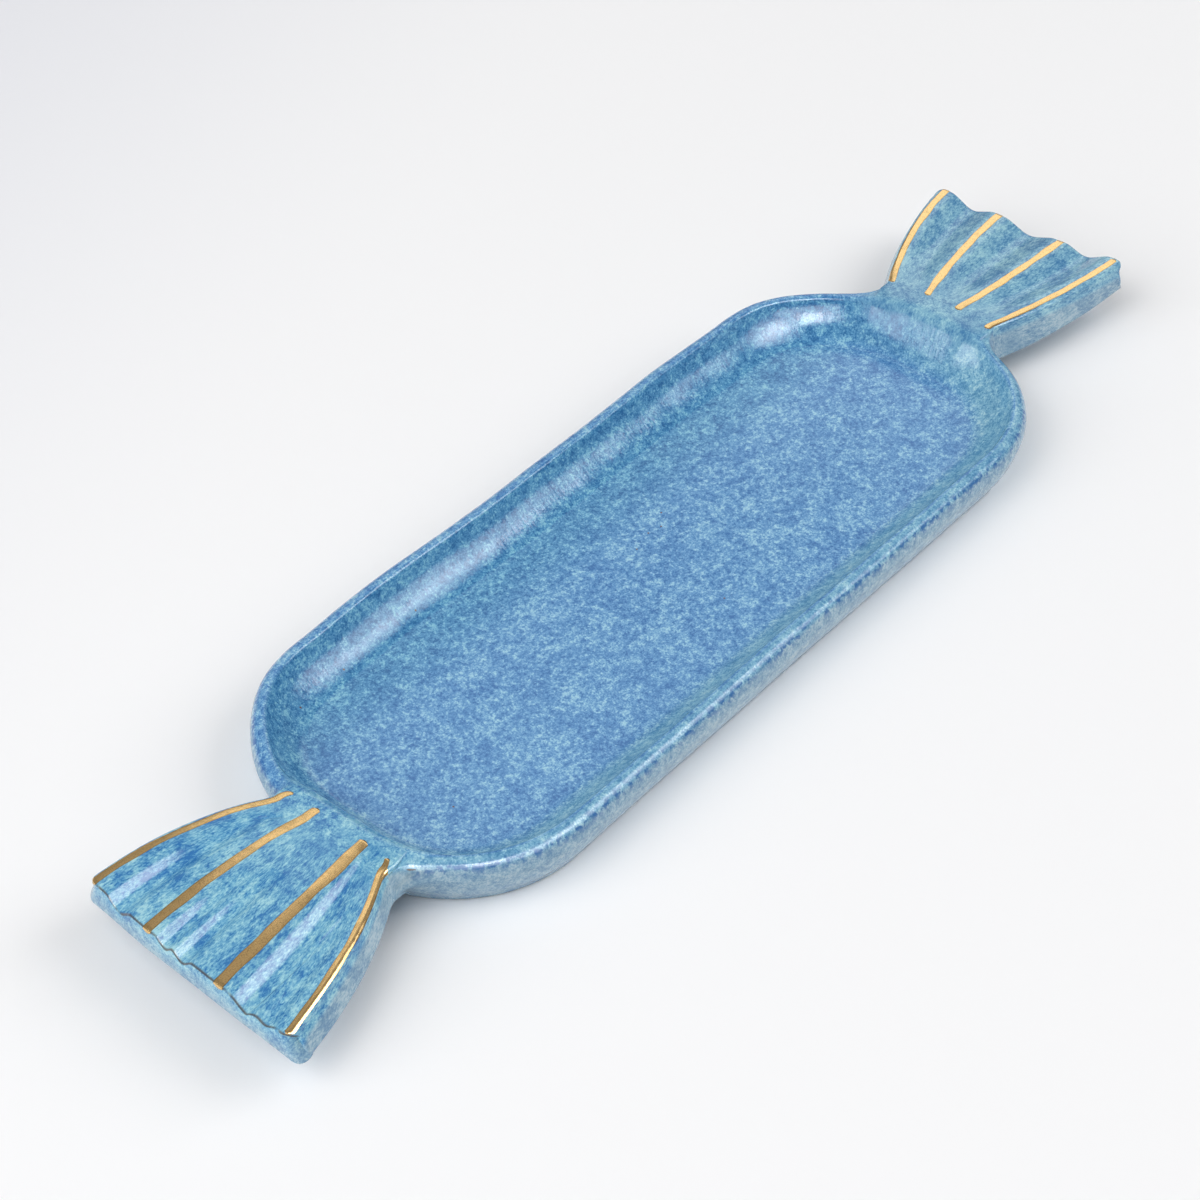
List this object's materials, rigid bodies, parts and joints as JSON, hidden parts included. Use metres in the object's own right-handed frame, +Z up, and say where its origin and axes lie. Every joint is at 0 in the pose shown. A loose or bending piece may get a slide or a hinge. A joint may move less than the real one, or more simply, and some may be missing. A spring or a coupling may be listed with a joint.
{
  "type": "platter",
  "caption": "Long shallow oval-ended ceramic serving platter shaped like a wrapped sweet, with a pleated fan tail at each end and gold lines along the pleats.",
  "frame": {"origin": "on the table, under the middle of the platter", "axes": "+X along the platter to the right tail, +Y across it, +Z up from the table"},
  "size_m": [0.4166, 0.1098, 0.0227],
  "materials": {
    "dish_glaze": "glossy mottled blue glaze",
    "tail_glaze": "glossy mottled blue glaze, streaked along the pleats",
    "gold_lustre": "brushed-on gold lustre"
  },
  "bodies": {
    "root": {"dish": "dish_glaze", "right_tail": "tail_glaze", "left_tail": "tail_glaze", "gold_line_right_1": "gold_lustre", "gold_line_right_2": "gold_lustre", "gold_line_right_3": "gold_lustre", "gold_line_right_4": "gold_lustre", "gold_line_left_1": "gold_lustre", "gold_line_left_2": "gold_lustre", "gold_line_left_3": "gold_lustre", "gold_line_left_4": "gold_lustre"}
  },
  "joints": []
}
